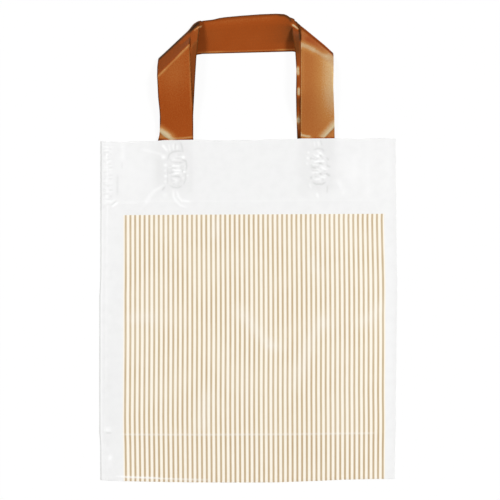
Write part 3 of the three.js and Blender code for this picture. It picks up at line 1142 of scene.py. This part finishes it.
def plastic(tree, sockets):
    """Ends a finish with one plastic shader."""
    shader = tree.node("ShaderNodeBsdfPrincipled", {}, {"IOR": FILM_INDEX, **sockets})
    tree.node("ShaderNodeOutputMaterial", {}, {"Surface": shader})


# %% [markdown]
# The outside of the film is milky polyethylene with a satin gloss, printed with fine tan stripes. The
# stripes are found from the flat places of the film: the distance to the nearest stripe's middle decides
# where there is ink, and the print starts below the front hem, goes round the bottom and ends at the same
# height on the back.

# %% Printed film
STRIPE_PITCH = 4.768 * MM
STRIPE_WIDTH = 2.0 * MM
STRIPE_COUNT = 55
FIRST_STRIPE = -122.4 * MM
STRIPE_SOFTNESS = 0.28 * MM
PRINT_TOP = 74.3 * MM
MILKY_WHITE = (0.875, 0.875, 0.873, 1.0)
SHOW_THROUGH = (0.79, 0.79, 0.788, 1.0)
# The next two colours are a painted highlight for raised marks and painted shade for creased marks.
SHEEN_WHITE = (0.99, 0.99, 0.99, 1.0)
CREASE_SHADE = (0.66, 0.66, 0.655, 1.0)
# A painted shade colour for a thin line along the left edge.
LEFT_EDGE_SHADE = (0.60, 0.60, 0.59, 1.0)
CREAM = (0.968, 0.905, 0.785, 1.0)
TAN_INK = (0.57, 0.43, 0.265, 1.0)
PALE_INK = (0.61, 0.48, 0.32, 1.0)
DEEP_INK = (0.50, 0.35, 0.19, 1.0)
CLOUD_SCALE, MOTTLE_SCALE, FINE_SCALE, FINE_DETAIL = 26.0, 110.0, 900.0, 3.0
FILM_GLOSS, FILM_BUMP = 0.36, 0.12
EDGE_LINE, PRINT_EDGE, GUSSET_EDGE = 1.3 * MM, 0.3 * MM, 1.0 * MM
TAIL_MIDDLES, TAIL_EDGE, HEM_EDGE = (-75.5 * MM, 69.0 * MM), (12 * MM, 23 * MM), 14 * MM
TAIL_SHOW, TAIL_CLOUD, MOTTLE_SHOW = 0.2, 0.6, 0.22
MOTTLE_RISE, INK_RISE, DOUBLED_SHARE = (0.35, 0.75), (0.35, 0.65), 0.4


def printed_film():
    """White film with its stripes, its marks with painted highlights and painted shade, and the tails
    showing through.
    """
    material, tree = finish("printed_film")
    across, run, place = film_place(tree)
    stripe = (across - FIRST_STRIPE) / STRIPE_PITCH + 0.5
    offset = abs((stripe - stripe.math("FLOOR", stripe) - 0.5) * STRIPE_PITCH)
    ink = 1 - soft_edge(offset, STRIPE_WIDTH / 2 - STRIPE_SOFTNESS, STRIPE_WIDTH / 2 + STRIPE_SOFTNESS)
    left = FIRST_STRIPE - STRIPE_PITCH / 2
    printed = soft_band(across, left, left + STRIPE_COUNT * STRIPE_PITCH, PRINT_EDGE)
    printed = printed * soft_band(run, rear_mouth + PRINT_TOP, front_mouth - PRINT_TOP, PRINT_EDGE)
    cloud = grain(tree, place, CLOUD_SCALE)
    mottle = grain(tree, place, MOTTLE_SCALE)
    hem_end = front_mouth - HEM_DEPTH
    in_hem = soft_edge(run, hem_end, hem_end + HEM_EDGE)
    tails = sum(1 - soft_edge(abs(across - middle), *TAIL_EDGE) for middle in TAIL_MIDDLES)
    thin = tails * in_hem * (TAIL_SHOW + TAIL_CLOUD * cloud)
    thin = thin + MOTTLE_SHOW * soft_edge(mottle, *MOTTLE_RISE)
    # This darker line along the left edge is painted shade, on the side where the stronger right lamp puts
    # the bag's thin shadow.
    melted = 1 - soft_edge(across, EDGE_LINE / 2 - HALF_WIDTH, EDGE_LINE - HALF_WIDTH)
    mark = attribute(tree, "film_mark")
    plain = blend_colours(tree, thin, MILKY_WHITE, SHOW_THROUGH)
    # Marks below 0 are painted shade in creases, in pressed lines and beside the welds.
    plain = blend_colours(tree, above_zero(-mark), plain, CREASE_SHADE)
    plain = blend_colours(tree, melted, plain, LEFT_EDGE_SHADE)
    doubled = 1 - soft_edge(run, front_bottom + GUSSET_DEPTH - GUSSET_EDGE, front_bottom + GUSSET_DEPTH)
    toned = blend_colours(tree, soft_edge(cloud, *INK_RISE), TAN_INK, PALE_INK)
    toned = blend_colours(tree, DOUBLED_SHARE * doubled, toned, DEEP_INK)
    inked = blend_colours(tree, ink, CREAM, toned)
    colour = blend_colours(tree, printed, plain, inked)
    # Marks above 0 are painted highlights and sheen on ridges and folds, over the print as well.
    colour = blend_colours(tree, above_zero(mark), colour, SHEEN_WHITE)
    fine = grain(tree, place, FINE_SCALE, FINE_DETAIL)
    gloss = FILM_GLOSS + GLOSS_CLOUD * cloud
    plastic(tree, {"Base Color": colour, "Roughness": gloss, "Normal": ripple(fine, FILM_BUMP)})
    return material


# %% Plain inside of the film
def plain_film():
    """The same film from inside, with no print."""
    material, tree = finish("plain_film")
    across, run, place = film_place(tree)
    cloud = grain(tree, place, CLOUD_SCALE)
    colour = blend_colours(tree, cloud, MILKY_WHITE, SHOW_THROUGH)
    plastic(tree, {"Base Color": colour, "Roughness": FILM_GLOSS + GLOSS_CLOUD * cloud})
    return material


# %% [markdown]
# The handles are thicker brown film with more gloss. Film is drawn as it is blown, which leaves faint
# streaks along the strip, so the noise is stretched along the strip's own length. The cut edges look
# darker than the face.

# %% Brown film
BROWN = (0.312, 0.051, 0.005, 1.0)
BROWN_LIGHT = (0.376, 0.073, 0.010, 1.0)
# BROWN_DEEP and BROWN_BLACK serve painted shade, and BROWN_GOLD and BROWN_PALE serve painted highlights and
# sheen.
BROWN_DEEP = (0.10, 0.028, 0.007, 1.0)
BROWN_BLACK, BLACK_FROM = (0.022, 0.004, 0.001, 1.0), 1.2
BROWN_GOLD = (0.46, 0.185, 0.05, 1.0)
BROWN_PALE = (0.60, 0.47, 0.285, 1.0)
BROWN_EDGE = (0.11, 0.024, 0.003, 1.0)
BROWN_GLOSS, BROWN_SHINE = 0.34, 0.36
WARM_GLOSS = (1.0, 0.80, 0.28, 1.0)
STREAK_SCALE, STREAK_DETAIL = (700.0, 14.0), 3.0
BROWN_CLOUD_SCALE, SPECK_SCALE, SPECK_TONE = 60.0, 800.0, 0.45
CUT_EDGE, BROWN_BUMP = (0.56 * MM, 1.4 * MM), 0.15


def brown_film():
    """Brown film with painted highlights and shade from the strip's tone, and random streaks and specks."""
    material, tree = finish("brown_film")
    across, run, place = film_place(tree)
    stretched = {"X": across * STREAK_SCALE[0], "Y": run * STREAK_SCALE[1]}
    streaks = grain(tree, tree.node("ShaderNodeCombineXYZ", {}, stretched), 1.0, STREAK_DETAIL)
    cloud = grain(tree, place, BROWN_CLOUD_SCALE)
    specks = grain(tree, place, SPECK_SCALE)
    # Above 0 the strip's tone is a painted highlight and sheen, below 0 painted shade; the specks add
    # random tone.
    tone = attribute(tree, "film_tone") + SPECK_TONE * (specks - 0.5)
    golden = soft_share(2 * tone)
    face = blend_colours(tree, 0.5 * streaks + 0.5 * cloud, BROWN, BROWN_LIGHT)
    face = blend_colours(tree, golden, face, BROWN_GOLD)
    face = blend_colours(tree, soft_share(2 * tone - 1), face, BROWN_PALE)
    face = blend_colours(tree, soft_share(-tone), face, BROWN_DEEP)
    face = blend_colours(tree, soft_share(-tone - BLACK_FROM), face, BROWN_BLACK)
    from_side = across.math("MINIMUM", across, STRIP_WIDTH - across)
    edge = (1 - soft_edge(from_side, *CUT_EDGE)) * (1 - golden)
    sockets = {
        "Base Color": blend_colours(tree, edge, face, BROWN_EDGE),
        "Roughness": BROWN_GLOSS + GLOSS_CLOUD * cloud,
        "Specular IOR Level": BROWN_SHINE,
        "Specular Tint": WARM_GLOSS,
        "Normal": ripple(streaks, BROWN_BUMP),
    }
    plastic(tree, sockets)
    return material


# %% Finishes on their pieces
bag.data.materials.clear()
bag.data.materials.append(printed_film())
bag.data.materials.append(plain_film())
handle_finish = brown_film()
for strip, length in strips.values():
    strip.data.materials.clear()
    strip.data.materials.append(handle_finish)
print("finishes:", [material.name for material in bpy.data.materials if material.users])

# %% [markdown]
# The table and the light. The picture is high key: a white table, and soft light from the sides with
# little from straight above, so that level film keeps its colour and only tilted film shines. The world
# is a dim room with a brighter ring halfway up and a dark top. One soft lamp stands on the right and one
# on the left, both a little towards the handles. The right one is stronger, which puts the bag's thin
# shadow on its left. The table shows white to the camera and to reflections and still takes the shadow.

# %% Table
TABLE_SIZE = 8.0
TABLE_WHITE = (0.98, 0.98, 0.98, 1.0)
TABLE_GLOW_SHARE = 0.92
WHITE = (1.0, 1.0, 1.0, 1.0)
SEEN_BY = ("Is Camera Ray", "Is Glossy Ray", "Is Transmission Ray")

deselect()
bpy.ops.mesh.primitive_plane_add(size=TABLE_SIZE, location=(0.0, 0.0, 0.0))
table = bpy.context.object
table.name = "table"
table_finish, tree = finish("table_white")
matte = tree.node("ShaderNodeBsdfDiffuse", {}, {"Color": TABLE_WHITE})
glow = tree.node("ShaderNodeEmission", {}, {"Color": WHITE, "Strength": 1.0})
seen = sum(tree.node("ShaderNodeLightPath", {}, {}, name) for name in SEEN_BY)
seen = seen.math("MINIMUM", seen, 1.0)
shown = tree.node("ShaderNodeMixShader", {}, {0: seen * TABLE_GLOW_SHARE, 1: matte, 2: glow})
tree.node("ShaderNodeOutputMaterial", {}, {"Surface": shown})
table.data.materials.append(table_finish)
print("table in m:", TABLE_SIZE)

# %% World and lamps
TOP_DIM, RING_BRIGHT, LOW_DIM = 0.08, 0.36, 0.2
RING_START, TOP_START = (0.62, 0.70), (0.88, 0.93)
LAMP_FROM_TOP, LAMP_SPREAD = math.radians(40), math.radians(16)
LAMPS = [
    ("soft_right", math.radians(15), 1.85),
    ("soft_left", math.radians(160), 1.50),
]

world = bpy.data.worlds.new("soft_room")
bpy.context.scene.world = world
world.use_nodes = True
world.node_tree.nodes.clear()
sky = Wire(world.node_tree)
direction = sky.node("ShaderNodeTexCoord", {}, {}, "Generated")
height = sky.node("ShaderNodeSeparateXYZ", {}, {0: direction}, "Z")
ring = soft_edge(height, *RING_START)
top = soft_edge(height, *TOP_START)
strength = LOW_DIM + (RING_BRIGHT - LOW_DIM) * ring + (TOP_DIM - RING_BRIGHT) * top
room = sky.node("ShaderNodeBackground", {}, {"Color": WHITE, "Strength": strength})
sky.node("ShaderNodeOutputWorld", {}, {"Surface": room})

for name, azimuth, strength in LAMPS:
    turn_to = (0.0, LAMP_FROM_TOP, azimuth)
    bpy.ops.object.light_add(type="SUN", location=(0.0, 0.0, 1.0), rotation=turn_to)
    lamp = bpy.context.object
    lamp.name = name
    lamp.data.angle = LAMP_SPREAD
    lamp.data.energy = strength
print("lamps:", [lamp[0] for lamp in LAMPS])

# %% [markdown]
# The last cell ties every piece to the frame. The bag's film and the two strips are sheets with a known
# flat size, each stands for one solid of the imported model, and all of them ride on its single body.

# %% Tie the pieces to the frame
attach(bag, "root")
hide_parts("bag_body")
for node, (strip, length) in strips.items():
    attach(strip, "root")
    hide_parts(node)

bpy.context.scene.view_settings.view_transform = "Standard"
